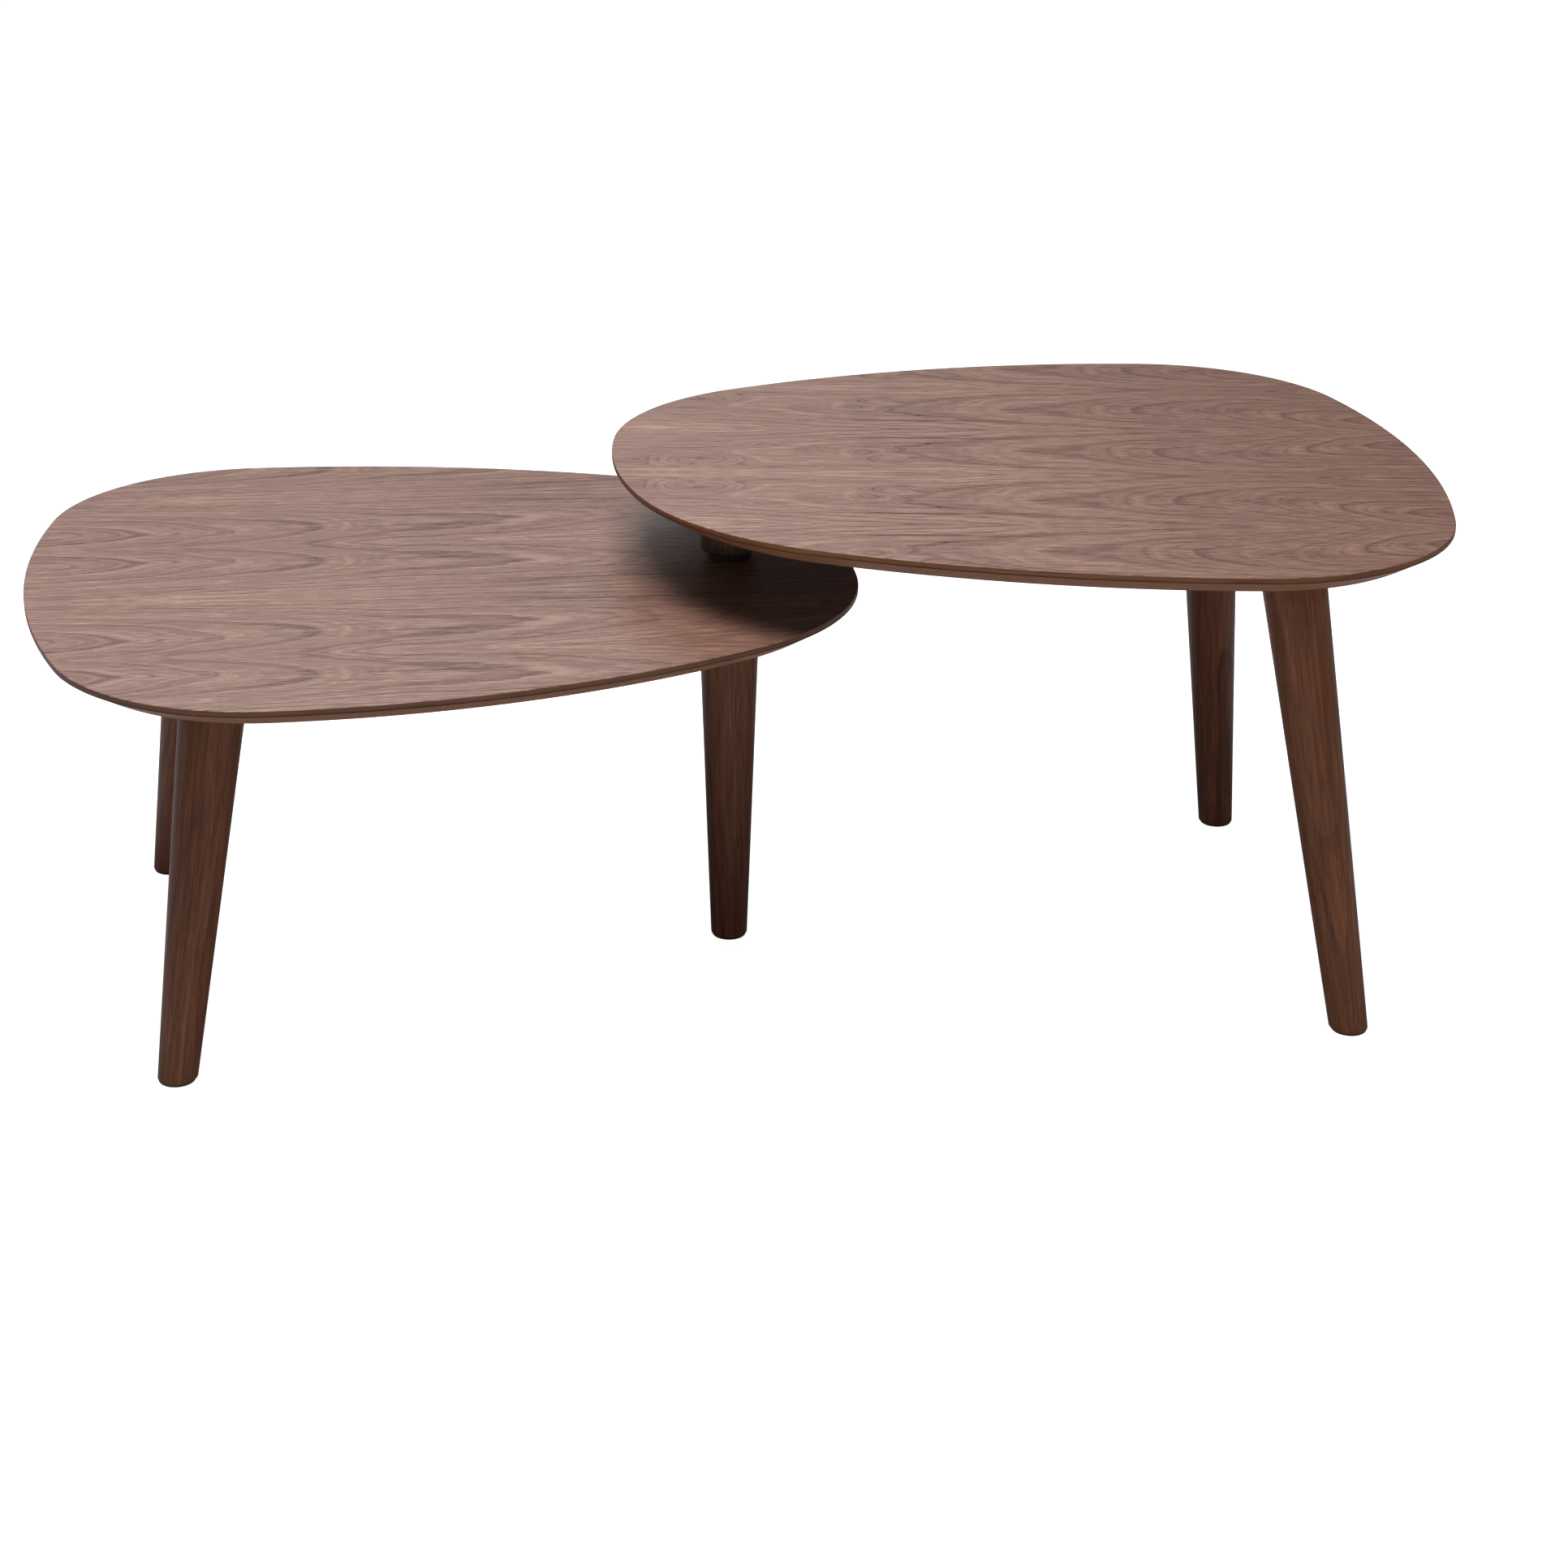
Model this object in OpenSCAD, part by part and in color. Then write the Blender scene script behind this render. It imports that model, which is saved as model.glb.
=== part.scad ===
// Two-tier swivelling coffee table: a low table and a high table with the same top.
// The high top turns on a post that stands above the low table's upright leg.
// The origin is on the floor, on the swivel axis; +X runs along the opened table, +Z is up.

/* [Heights] */
// Height of the upper table's top face
upper_height = 441; // [400:1:480]
// Height of the lower table's top face
lower_height = 357; // [320:1:370]
// Thickness of each top
top_thickness = 18; // [17:0.5:22]
// Height of the upright edge above the underside bevel
edge_height = 5; // [4:0.5:8]
// Width of the underside bevel, seen from below
bevel_width = 21.5; // [12:0.5:26]

/* [Outline of each top, drawn for the lower table] */
// Nose corner at the rear: centre x
nose_rear_x = -160; // [-165:1:-155]
// Nose corner at the rear: centre y
nose_rear_y = -11; // [-15:1:-7]
// Nose corner at the rear: radius
nose_rear_r = 250; // [245:1:255]
// Far corner at the rear: centre x
far_rear_x = -424; // [-430:1:-418]
// Far corner at the rear: centre y
far_rear_y = 78; // [74:1:82]
// Far corner at the rear: radius
far_rear_r = 172; // [165:1:180]
// Far corner at the front: centre x
far_front_x = -356; // [-362:1:-350]
// Far corner at the front: centre y
far_front_y = -202; // [-206:1:-198]
// Far corner at the front: radius
far_front_r = 177; // [170:1:185]
// Nose corner at the front: centre x
nose_front_x = -91; // [-95:1:-87]
// Nose corner at the front: centre y
nose_front_y = -70; // [-74:1:-66]
// Nose corner at the front: radius
nose_front_r = 200; // [195:1:205]
// Radius of the rear side
rear_side_r = 926; // [900:1:960]
// Radius of the far end
far_end_r = 747; // [720:1:780]
// Radius of the front side
front_side_r = 764; // [740:1:790]
// Radius of the nose end
nose_end_r = 410; // [400:1:425]

/* [Legs] */
// Leg diameter at the underside of the top
leg_top_d = 55; // [48:1:58]
// Leg diameter at the floor
leg_foot_d = 32; // [27:1:36]
// Lower front foot: x
lower_front_x = -442; // [-450:1:-434]
// Lower front foot: y
lower_front_y = -285; // [-292:1:-278]
// Lower rear foot: x
lower_rear_x = -527; // [-535:1:-519]
// Lower rear foot: y
lower_rear_y = 131; // [124:1:138]
// Upper rear foot: x
upper_rear_x = 472; // [464:1:480]
// Upper rear foot: y
upper_rear_y = 265; // [258:1:272]
// Upper front foot: x
upper_front_x = 527; // [519:1:535]
// Upper front foot: y
upper_front_y = -178; // [-185:1:-171]
// Lean of the lower table's splayed legs
lower_splay = 12; // [8:0.5:13]
// Lean of the upper table's splayed legs
upper_splay = 12; // [8:0.5:13]

/* [Swivel] */
// Angle from the lower table's outline to the upper table's
open_angle = 173; // [168:1:178]
// Diameter of the wooden post
post_d = 49; // [44:1:54]
// Diameter of the steel swivel shaft
shaft_d = 16; // [14:1:18]
// Radial running clearance of the shaft in its bushes
running_gap = 0.05; // [0.03:0.01:0.1]

/* [Hidden] */
$fn = 96;

// Board build-up
veneer = 0.6;
band = 1;
sag = 0.05;
// Steel plates between the wood and the boards
plate_t = 3;
plate_d = 90;
plate_hole_circle = 74;
end_hole_circle = 22;
pivot_hole_circle = 38;
// Screws
plate_screw_d = 4;
plate_screw_len = 16;
leg_screw_d = 4.5;
leg_screw_len = 35;
pivot_screw_d = 3.5;
pivot_screw_len = 30;
head_land = 0.3;
// Foot glides
glide_t = 2.5;
glide_edge = 1.5;
glide_setback = 1;
tack_d = 2.6;
tack_len = 14;
pilot_d = 2.2;
// Swivel stack, from the lower top upwards
ring_t = 6;
ring_d = 37;
body_gap = 0.3;
post_chamfer = 1.5;
bush_wall = 2;
bush_len = 14;
flange_d = 26;
flange_t = 2;
nut_room_d = 28;
nut_room_h = 18;
thread_d = 12;
thread_end = 2;
nut_flats = 19;
nut_t = 10;
washer_t = 2.5;
washer_d = 26;
socket_d = 24;
socket_len = 70;
socket_floor = 6;
shaft_clearance = 1;

lower_under = lower_height - top_thickness;
upper_under = upper_height - top_thickness;
foot_r = leg_foot_d / 2;
post_bottom = lower_height + ring_t + body_gap;
post_top = upper_under - plate_t;
nut_room_floor = post_top - nut_room_h;
shoulder = nut_room_floor + flange_t + body_gap;
socket_bottom = lower_under - plate_t - socket_len;
shaft_hole_d = shaft_d + shaft_clearance;

// Where each leg stands: foot x, foot y, direction of the lean, angle of the lean
lower_front_foot = [lower_front_x, lower_front_y, 233, lower_splay];
lower_rear_foot = [lower_rear_x, lower_rear_y, 144, lower_splay];
upper_front_foot = [upper_front_x, upper_front_y, -35, upper_splay];
upper_rear_foot = [upper_rear_x, upper_rear_y, 61, upper_splay];
pivot_foot = [0, 0, 0, 0];

// ---------- outline ----------
// The outline is a chain of eight tangent arcs, counter-clockwise:
// four corner arcs joined by four long arcs, each as [centre, radius, start angle, sweep].
corners = [
    [[nose_rear_x, nose_rear_y], nose_rear_r],
    [[far_rear_x, far_rear_y], far_rear_r],
    [[far_front_x, far_front_y], far_front_r],
    [[nose_front_x, nose_front_y], nose_front_r]
];
long_radii = [rear_side_r, far_end_r, front_side_r, nose_end_r];

function bearing(v) = atan2(v[1], v[0]);
function turn(a) = a < 0 ? a + 360 : a;
// Centre of the long arc of radius r that touches corner a and corner b from outside
function long_centre(a, b, r) =
    let (d = b[0] - a[0])
    let (gap = norm(d))
    let (along = d / gap)
    let (inward = [-along[1], along[0]])
    let (ra = r - a[1])
    let (rb = r - b[1])
    let (s = (ra * ra - rb * rb + gap * gap) / (2 * gap))
    a[0] + along * s + inward * sqrt(ra * ra - s * s);
long_centres = [for (i = [0:3]) long_centre(corners[i], corners[(i + 1) % 4], long_radii[i])];
// Bearing of the point where corner i meets the long arc k
function meet(i, k) = bearing(corners[i][0] - long_centres[k]);
corner_arcs = [for (i = [0:3]) let (k = (i + 3) % 4)
    [corners[i][0], corners[i][1], meet(i, k), turn(meet(i, i) - meet(i, k))]];
long_arcs = [for (i = [0:3]) let (j = (i + 1) % 4)
    [long_centres[i], long_radii[i], meet(i, i), turn(meet(j, i) - meet(i, i))]];
arcs = [for (i = [0:3]) each [corner_arcs[i], long_arcs[i]]];

// Points along the outline, moved inwards by inset; the same bearings at every inset
function steps(arc) = ceil(arc[3] / (2 * acos(1 - sag / arc[1])));
function outline_points(inset) = [for (a = arcs)
    let (n = steps(a))
    for (k = [0:n - 1])
        let (t = a[2] + a[3] * k / n)
        a[0] + (a[1] - inset) * [cos(t), sin(t)]];

// Flat layer of the whole outline
module layer(inset, low, high) {
    translate([0, 0, low])
        linear_extrude(high - low)
            polygon(outline_points(inset));
}

// Solid whose outline changes with height; levels are [inset, height], from the bottom up
module stacked(levels) {
    n = len(outline_points(0));
    last = len(levels) - 1;
    points = [for (level = levels) for (p = outline_points(level[0])) [p[0], p[1], level[1]]];
    sides = [for (i = [0:last - 1]) for (k = [0:n - 1])
        let (next = (k + 1) % n)
        [i * n + k, (i + 1) * n + k, (i + 1) * n + next, i * n + next]];
    bottom = [for (k = [0:n - 1]) k];
    top = [for (k = [n - 1:-1:0]) last * n + k];
    polyhedron(points, concat([bottom, top], sides));
}

// ---------- board layers, drawn with the underside at height 0 ----------
bevel_top = top_thickness - edge_height;
face_bottom = top_thickness - veneer;
function bevel_inset(z) = bevel_width * (1 - z / bevel_top);

module board_core() {
    stacked([[bevel_inset(veneer), veneer], [0, bevel_top], [band, bevel_top], [band, face_bottom]]);
}

module board_face() {
    layer(0, face_bottom, top_thickness);
}

module board_backing() {
    layer(bevel_width, 0, veneer);
}

// The band is one strip round the board, from the bevel up to the face veneer
module board_band() {
    difference() {
        layer(0, bevel_top, face_bottom);
        layer(band, bevel_top - 1, face_bottom + 1);
    }
}

module at_lower_board() {
    translate([0, 0, lower_under]) children();
}

module at_upper_board() {
    translate([0, 0, upper_under]) rotate(open_angle) children();
}

// ---------- legs, plates, screws and glides ----------
// Centre of a leg's axis at height z
function leg_at(foot, z) =
    [foot[0] - z * tan(foot[3]) * cos(foot[2]), foot[1] - z * tan(foot[3]) * sin(foot[2]), z];
// Turns a part about the leg's plate to face along the lean
module on_plate(foot, under) {
    translate(leg_at(foot, under - plate_t)) rotate(foot[2]) children();
}

// Straight tapered leg, cut level at the glide and at the plate
module leg(foot, under) {
    extra = 30;
    side = 200;
    top = under - plate_t;
    run = top / cos(foot[3]) + 2 * extra;
    slope = (leg_top_d - leg_foot_d) / 2 / under * cos(foot[3]);
    intersection() {
        translate([foot[0], foot[1], 0])
            rotate([0, -foot[3], foot[2]])
                translate([0, 0, -extra])
                    cylinder(h = run, r1 = foot_r - slope * extra, r2 = foot_r + slope * (run - extra));
        translate([foot[0] - side, foot[1] - side, glide_t])
            cube([2 * side, 2 * side, top - glide_t]);
    }
}

// The tack is driven into a narrower pilot hole
module tack_hole(foot) {
    translate([foot[0], foot[1], glide_t]) cylinder(h = tack_len, d = pilot_d);
}

// Nail-on glide: a disc with a rounded lower edge and a tack that goes up into the leg
module glide(foot) {
    r = foot_r - glide_setback;
    translate([foot[0], foot[1], 0]) {
        rotate_extrude() {
            square([r - glide_edge, glide_t]);
            translate([r - glide_edge, glide_edge]) square([glide_edge, glide_t - glide_edge]);
            translate([r - glide_edge, glide_edge]) circle(r = glide_edge);
        }
        translate([0, 0, glide_t / 2]) cylinder(h = tack_len, d = tack_d);
    }
}

// Screw places on a plate: four into the board, three into the end of the wood
function plate_hole(k) = plate_hole_circle / 2 * [cos(45 + 90 * k), sin(45 + 90 * k)];
function end_hole(k, circle) = circle / 2 * [cos(60 + 120 * k), sin(60 + 120 * k)];

module board_holes() {
    for (k = [0:3])
        translate(plate_hole(k)) cylinder(h = plate_screw_len, d = plate_screw_d);
}

module end_holes(circle, d, len) {
    for (k = [0:2])
        translate(end_hole(k, circle)) translate([0, 0, plate_t - len]) cylinder(h = len, d = d);
}

// Half profile of a countersunk head, from the centre line outwards, head at height 0
function head_profile(d) =
    [[0, 0], [d * 0.95, 0], [d * 0.95, -head_land], [d / 2, -d * 0.55 - head_land]];

// Countersunk screw with a cross recess: head at height 0, point downwards
module screw(d, len) {
    difference() {
        rotate_extrude() polygon(concat(head_profile(d), [[d / 2, d - len], [0, -len]]));
        for (a = [0, 90])
            rotate(a)
                translate([-d * 0.55, -d * 0.11, -d * 0.4])
                    cube([d * 1.1, d * 0.22, d]);
    }
}

// The hole in a plate that takes such a screw flush with its face
module countersink(d) {
    rotate_extrude() polygon(concat(head_profile(d), [[d / 2, -plate_t - 1], [0, -plate_t - 1]]));
    cylinder(h = 1, r = d * 0.95);
}

// Round plate: countersunk from above for the wood's end, from below for the board
module plate(circle, d, centre_hole) {
    difference() {
        cylinder(h = plate_t, d = plate_d);
        for (k = [0:2])
            translate(end_hole(k, circle)) translate([0, 0, plate_t]) countersink(d);
        for (k = [0:3])
            translate(plate_hole(k)) mirror([0, 0, 1]) countersink(plate_screw_d);
        if (centre_hole > 0)
            translate([0, 0, -1]) cylinder(h = plate_t + 2, d = centre_hole);
    }
}

module leg_plate() {
    plate(end_hole_circle, leg_screw_d, 0);
}

module end_screws(circle, d, len) {
    for (k = [0:2])
        translate(end_hole(k, circle)) translate([0, 0, plate_t]) screw(d, len);
}

module board_screws() {
    for (k = [0:3])
        translate(plate_hole(k)) mirror([0, 0, 1]) screw(plate_screw_d, plate_screw_len);
}

// Hole for the swivel shaft through everything at the lower board
module shaft_hole() {
    translate([0, 0, lower_under - 10]) cylinder(h = top_thickness + 20, d = shaft_hole_d);
}

// ---------- lower table ----------
wood = [0.26, 0.15, 0.11];
face_wood = [0.62, 0.51, 0.47];
edge_wood = [0.36, 0.23, 0.13];
board = [0.55, 0.42, 0.30];
steel = [0.20, 0.20, 0.21];
bright_steel = [0.62, 0.63, 0.65];
nylon = [0.12, 0.10, 0.09];

module lower_core() {
    color(board) difference() {
        at_lower_board() board_core();
        for (foot = [lower_front_foot, lower_rear_foot, pivot_foot])
            on_plate(foot, lower_under) board_holes();
        shaft_hole();
    }
}

module lower_face_veneer() {
    color(face_wood) difference() {
        at_lower_board() board_face();
        shaft_hole();
    }
}

module lower_backing_veneer() {
    color(wood) difference() {
        at_lower_board() board_backing();
        for (foot = [lower_front_foot, lower_rear_foot, pivot_foot])
            on_plate(foot, lower_under) board_holes();
        shaft_hole();
    }
}

module lower_edge_band() {
    color(edge_wood) at_lower_board() board_band();
}

module splayed_leg(foot, under) {
    color(wood) difference() {
        leg(foot, under);
        tack_hole(foot);
        on_plate(foot, under) end_holes(end_hole_circle, leg_screw_d, leg_screw_len);
    }
}

module lower_front_leg() {
    splayed_leg(lower_front_foot, lower_under);
}

module lower_rear_leg() {
    splayed_leg(lower_rear_foot, lower_under);
}

// Upright leg below the swivel axis, bored for the shaft's socket
module pivot_leg() {
    color(wood) difference() {
        leg(pivot_foot, lower_under);
        tack_hole(pivot_foot);
        translate([0, 0, socket_bottom]) cylinder(h = socket_len + 1, d = socket_d);
        on_plate(pivot_foot, lower_under) end_holes(pivot_hole_circle, pivot_screw_d, pivot_screw_len);
    }
}

module lower_front_plate() {
    color(steel) on_plate(lower_front_foot, lower_under) leg_plate();
}

module lower_rear_plate() {
    color(steel) on_plate(lower_rear_foot, lower_under) leg_plate();
}

module pivot_plate() {
    color(steel) on_plate(pivot_foot, lower_under) plate(pivot_hole_circle, pivot_screw_d, shaft_hole_d);
}

module lower_leg_screws() {
    color(bright_steel) {
        for (foot = [lower_front_foot, lower_rear_foot])
            on_plate(foot, lower_under) end_screws(end_hole_circle, leg_screw_d, leg_screw_len);
        on_plate(pivot_foot, lower_under) end_screws(pivot_hole_circle, pivot_screw_d, pivot_screw_len);
    }
}

module lower_plate_screws() {
    color(bright_steel)
        for (foot = [lower_front_foot, lower_rear_foot, pivot_foot])
            on_plate(foot, lower_under) board_screws();
}

module lower_front_glide() {
    color(nylon) glide(lower_front_foot);
}

module lower_rear_glide() {
    color(nylon) glide(lower_rear_foot);
}

module pivot_glide() {
    color(nylon) glide(pivot_foot);
}

// ---------- swivel, fixed to the lower table ----------
// Steel sleeve glued into the upright leg
module shaft_socket() {
    color(bright_steel) translate([0, 0, socket_bottom]) difference() {
        cylinder(h = socket_len, d = socket_d);
        translate([0, 0, socket_floor]) cylinder(h = socket_len, d = shaft_d);
    }
}

// Shaft with a shoulder and a thinner threaded end
module swivel_shaft() {
    low = socket_bottom + socket_floor;
    color(bright_steel) {
        translate([0, 0, low]) cylinder(h = shoulder - low, d = shaft_d);
        translate([0, 0, shoulder]) cylinder(h = washer_t + nut_t + thread_end, d = thread_d);
    }
}

module thrust_ring() {
    color(nylon) translate([0, 0, lower_height]) difference() {
        cylinder(h = ring_t, d = ring_d);
        translate([0, 0, -1]) cylinder(h = ring_t + 2, d = shaft_hole_d);
    }
}

module shaft_washer() {
    color(bright_steel) translate([0, 0, shoulder]) difference() {
        cylinder(h = washer_t, d = washer_d);
        translate([0, 0, -1]) cylinder(h = washer_t + 2, d = thread_d);
    }
}

module shaft_nut() {
    color(bright_steel) translate([0, 0, shoulder + washer_t]) difference() {
        cylinder(h = nut_t, d = nut_flats / cos(30), $fn = 6);
        translate([0, 0, -1]) cylinder(h = nut_t + 2, d = thread_d);
    }
}

// ---------- upper table ----------
module upper_board_holes() {
    for (foot = [upper_front_foot, upper_rear_foot, pivot_foot])
        on_plate(foot, upper_under) board_holes();
}

module upper_core() {
    color(board) difference() {
        at_upper_board() board_core();
        upper_board_holes();
    }
}

module upper_face_veneer() {
    color(face_wood) at_upper_board() board_face();
}

module upper_backing_veneer() {
    color(wood) difference() {
        at_upper_board() board_backing();
        upper_board_holes();
    }
}

module upper_edge_band() {
    color(edge_wood) at_upper_board() board_band();
}

module upper_front_leg() {
    splayed_leg(upper_front_foot, upper_under);
}

module upper_rear_leg() {
    splayed_leg(upper_rear_foot, upper_under);
}

// Turned post, bored for the shaft, its bushes and the nut
module post() {
    bush_bore = shaft_d / 2 + bush_wall;
    color(wood) difference() {
        rotate_extrude()
            polygon([
                [bush_bore, post_bottom + flange_t], [flange_d / 2, post_bottom + flange_t],
                [flange_d / 2, post_bottom], [post_d / 2 - post_chamfer, post_bottom],
                [post_d / 2, post_bottom + post_chamfer], [post_d / 2, post_top],
                [nut_room_d / 2, post_top], [nut_room_d / 2, nut_room_floor],
                [bush_bore, nut_room_floor]
            ]);
        on_plate(pivot_foot, upper_under) end_holes(pivot_hole_circle, pivot_screw_d, pivot_screw_len);
    }
}

// Flanged bush with its flange below height 0 and its barrel above
module bush() {
    inner = shaft_d / 2 + running_gap;
    outer = shaft_d / 2 + bush_wall;
    color(nylon) rotate_extrude()
        polygon([
            [inner, -flange_t], [flange_d / 2, -flange_t], [flange_d / 2, 0],
            [outer, 0], [outer, bush_len], [inner, bush_len]
        ]);
}

module post_lower_bush() {
    translate([0, 0, post_bottom + flange_t]) bush();
}

module post_upper_bush() {
    translate([0, 0, nut_room_floor]) mirror([0, 0, 1]) bush();
}

module upper_front_plate() {
    color(steel) on_plate(upper_front_foot, upper_under) leg_plate();
}

module upper_rear_plate() {
    color(steel) on_plate(upper_rear_foot, upper_under) leg_plate();
}

module post_plate() {
    color(steel) on_plate(pivot_foot, upper_under) plate(pivot_hole_circle, pivot_screw_d, 0);
}

module upper_leg_screws() {
    color(bright_steel) {
        for (foot = [upper_front_foot, upper_rear_foot])
            on_plate(foot, upper_under) end_screws(end_hole_circle, leg_screw_d, leg_screw_len);
        on_plate(pivot_foot, upper_under) end_screws(pivot_hole_circle, pivot_screw_d, pivot_screw_len);
    }
}

module upper_plate_screws() {
    color(bright_steel)
        for (foot = [upper_front_foot, upper_rear_foot, pivot_foot])
            on_plate(foot, upper_under) board_screws();
}

module upper_front_glide() {
    color(nylon) glide(upper_front_foot);
}

module upper_rear_glide() {
    color(nylon) glide(upper_rear_foot);
}

lower_core();
lower_face_veneer();
lower_backing_veneer();
lower_edge_band();
lower_front_leg();
lower_rear_leg();
pivot_leg();
lower_front_plate();
lower_rear_plate();
pivot_plate();
lower_leg_screws();
lower_plate_screws();
lower_front_glide();
lower_rear_glide();
pivot_glide();
shaft_socket();
swivel_shaft();
thrust_ring();
shaft_washer();
shaft_nut();
upper_core();
upper_face_veneer();
upper_backing_veneer();
upper_edge_band();
upper_front_leg();
upper_rear_leg();
post();
post_lower_bush();
post_upper_bush();
upper_front_plate();
upper_rear_plate();
post_plate();
upper_leg_screws();
upper_plate_screws();
upper_front_glide();
upper_rear_glide();
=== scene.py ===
"""Looks of the two-tier swivelling coffee table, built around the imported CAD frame.

Lengths are in metres, and inside the materials in millimetres.
"""
import math

import bpy
import numpy as np
from mathutils import Matrix, Vector
from mathutils.geometry import tessellate_polygon


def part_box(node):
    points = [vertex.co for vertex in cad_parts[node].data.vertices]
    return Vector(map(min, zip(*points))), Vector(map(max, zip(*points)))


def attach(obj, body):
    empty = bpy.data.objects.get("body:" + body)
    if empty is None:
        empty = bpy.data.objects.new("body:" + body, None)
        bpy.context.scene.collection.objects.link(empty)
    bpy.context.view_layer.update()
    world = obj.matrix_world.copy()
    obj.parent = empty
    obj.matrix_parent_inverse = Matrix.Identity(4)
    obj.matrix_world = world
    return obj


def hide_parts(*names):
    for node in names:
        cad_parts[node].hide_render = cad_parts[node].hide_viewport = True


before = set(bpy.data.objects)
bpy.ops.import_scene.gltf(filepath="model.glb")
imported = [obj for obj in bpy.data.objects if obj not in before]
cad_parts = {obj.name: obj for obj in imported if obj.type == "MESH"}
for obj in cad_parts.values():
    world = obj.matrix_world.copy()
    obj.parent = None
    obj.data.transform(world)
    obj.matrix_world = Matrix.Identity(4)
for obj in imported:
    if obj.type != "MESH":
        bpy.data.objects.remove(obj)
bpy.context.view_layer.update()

MM = 0.001
LEVEL_TOLERANCE = 0.01 * MM
SHAFT_ROOM = 20 * MM        # nothing of a board's outline comes this near the swivel axis
ROUND_STEPS = 5             # steps that a quarter round or an eased edge is drawn in
SHARP_DEGREES = 35          # an edge that turns further than this is drawn sharp

# Boards
OUTLINE_POINTS = 720
OUTLINE_INSET = 0.05 * MM   # keeps the smooth outline inside the CAD's chords
HOLE_SEGMENTS = 48
EASE = 0.8 * MM             # radius of the eased edge round a top
FLAT_START = 1.2 * MM       # a top's face is flat from this far in
FLAT_MARGIN = 6 * MM        # width of the flat ring inside each cap
BAND_THICKNESS = 1 * MM
BAND_EASE = 0.5 * MM        # round along the band's lower edge
ROUND_MIDDLE = 0.3          # how far a round's middle lies from each side, as a share of its radius
LIP_INSET = 0.175 * MM      # the bevel starts this far in, under the band's rounded edge
LIP_DROP = 0.15 * MM        # and this far below the band
BEVEL_ROUND = 0.8 * MM      # height of the soft bends at the bevel's two ends
HEM_ROUND = 0.2 * MM        # height of the small rounds at a board's lowest edges
HEM_FLAT = 0.5 * MM         # width of the small round at the bevel's foot
SEAM_GAP = 0.12 * MM        # butt seam of the edge band

# Legs, post and ring
LEG_SEGMENTS = 64
LEG_RINGS = 9
LEG_SHARP_DEGREES = 50
UPRIGHT_LEAN = 1e-4         # a leg whose axis leans less than this is upright
FOOT_ROUND = 1.0 * MM
TOP_ROUND = 0.4 * MM
TURNED_SEGMENTS = 96
CORNER_STEPS = 4            # steps of each rounded corner on the post and the ring
POST_FOOT_ROUND = 0.5 * MM
SHOULDER_ROUND = 0.8 * MM   # round where the post's chamfer meets its side, and on the ring's upper rim
BUSH_FLANGE = 2 * MM        # thickness of a bush's flange, which the post is recessed for


# ---------- reading the CAD frame ----------
def points_of(node):
    """A CAD node's own vertices, each place once."""
    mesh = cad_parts[node].data
    flat = np.empty(len(mesh.vertices) * 3)
    mesh.vertices.foreach_get("co", flat)
    return np.unique(flat.reshape(-1, 3).round(7), axis=0)


def at_level(points, z):
    """Those of the points that lie at a height."""
    return points[np.abs(points[:, 2] - z) < LEVEL_TOLERANCE]


def outline_of(tier):
    """The board's outline seen from above, counter-clockwise, as the CAD's own points."""
    face = points_of(tier + "_face_veneer")
    rim = at_level(face, face[:, 2].max())[:, :2]
    rim = rim[np.hypot(rim[:, 0], rim[:, 1]) > SHAFT_ROOM]
    middle = rim.mean(0)
    bearing = np.arctan2(rim[:, 1] - middle[1], rim[:, 0] - middle[0])
    return rim[np.argsort(bearing)]


def smooth_loop(points, count):
    """Evenly spaced points on a smooth closed curve through the given ones, and its inward normals."""
    ahead = np.roll(points, -1, 0) - points
    behind = points - np.roll(points, 1, 0)
    step = np.linalg.norm(ahead, axis=1)
    before = np.roll(step, 1)
    slope = ahead * (before / step)[:, None] + behind * (step / before)[:, None]
    slope /= (step + before)[:, None]
    run = np.concatenate([[0], np.cumsum(step)])
    places = np.linspace(0, run[-1], count, endpoint=False)
    k = np.searchsorted(run, places, side="right") - 1
    after = (k + 1) % len(points)
    t = ((places - run[k]) / step[k])[:, None]
    span = step[k][:, None]
    curve = (
        (2 * t**3 - 3 * t**2 + 1) * points[k]
        + (t**3 - 2 * t**2 + t) * span * slope[k]
        + (3 * t**2 - 2 * t**3) * points[after]
        + (t**3 - t**2) * span * slope[after]
    )
    along = np.roll(curve, -1, 0) - np.roll(curve, 1, 0)
    along /= np.linalg.norm(along, axis=1)[:, None]
    return curve, np.stack([-along[:, 1], along[:, 0]], 1)


# ---------- mesh building ----------
def add_mesh(name, vertices, faces, sharp_degrees=SHARP_DEGREES):
    mesh = bpy.data.meshes.new(name)
    mesh.from_pydata([tuple(v) for v in vertices], [], faces)
    mesh.validate()
    mesh.shade_smooth()
    mesh.set_sharp_from_angle(angle=math.radians(sharp_degrees))
    piece = bpy.data.objects.new(name, mesh)
    bpy.context.scene.collection.objects.link(piece)
    return piece


def store_grain(piece, grain):
    """Keeps each vertex's place in the wood it was cut from, for the materials."""
    attribute = piece.data.attributes.new("grain", "FLOAT_VECTOR", "POINT")
    attribute.data.foreach_set("vector", np.array(grain, np.float32).ravel())


def full_turn(count):
    """Angles evenly spaced round a full turn."""
    return [2 * math.pi * k / count for k in range(count)]


def tube_faces(rings, size, start=0, closed=False):
    """Quads between successive rings of size points each; closed also joins the last ring to the first."""
    faces = []
    for i in range(rings if closed else rings - 1):
        low, high = start + i * size, start + (i + 1) % rings * size
        for k in range(size):
            following = (k + 1) % size
            faces.append((low + k, low + following, high + following, high + k))
    return faces


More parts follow.
